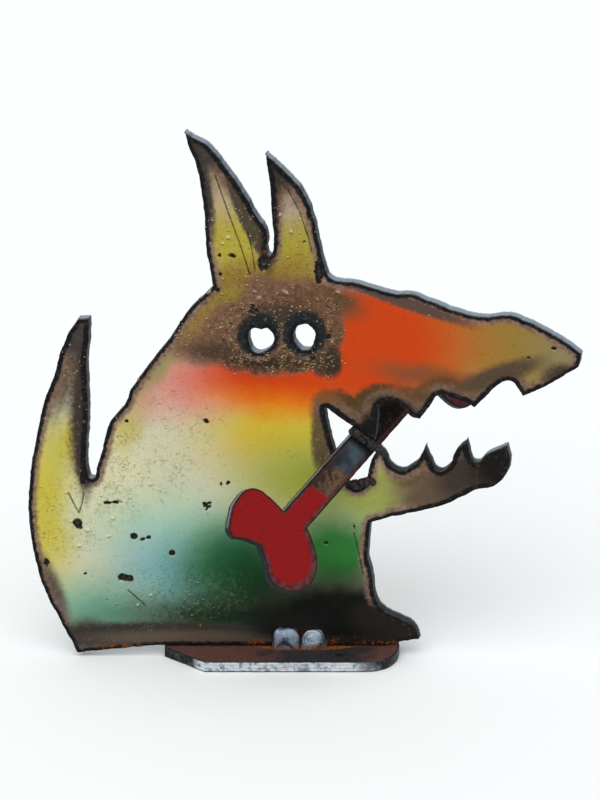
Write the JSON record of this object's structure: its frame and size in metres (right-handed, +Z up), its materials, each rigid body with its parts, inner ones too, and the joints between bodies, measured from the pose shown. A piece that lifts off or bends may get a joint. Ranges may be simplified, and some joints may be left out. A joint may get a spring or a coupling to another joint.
{
  "type": "scrap metal dog sculpture",
  "caption": "Upright dog cut from thick steel plate, biting a bone that crosses its open mouth, welded to a flat steel foot.",
  "frame": {"origin": "middle of the foot plate's underside", "axes": "+Z up, +X towards the dog's nose, -Y is the side that the painted face looks to"},
  "size_m": [0.3191, 0.1298, 0.3205],
  "materials": {
    "dog_plate": "airbrushed colour fade over torch-cut steel, burnt bare edges, weld spatter",
    "bone": "semi-gloss red paint with burnt edges and a bare steel shaft",
    "base_plate": "dark rusty mill scale with worn bright edges",
    "weld": "rippled weld metal with rust round it",
    "mouth_weld": "burnt dark weld metal"
  },
  "bodies": {
    "root": {"dog_plate": "dog_plate", "bone": "bone", "base_plate": "base_plate", "weld_front_left": "weld", "weld_front_right": "weld", "weld_back": "weld", "weld_mouth": "mouth_weld"}
  },
  "joints": []
}
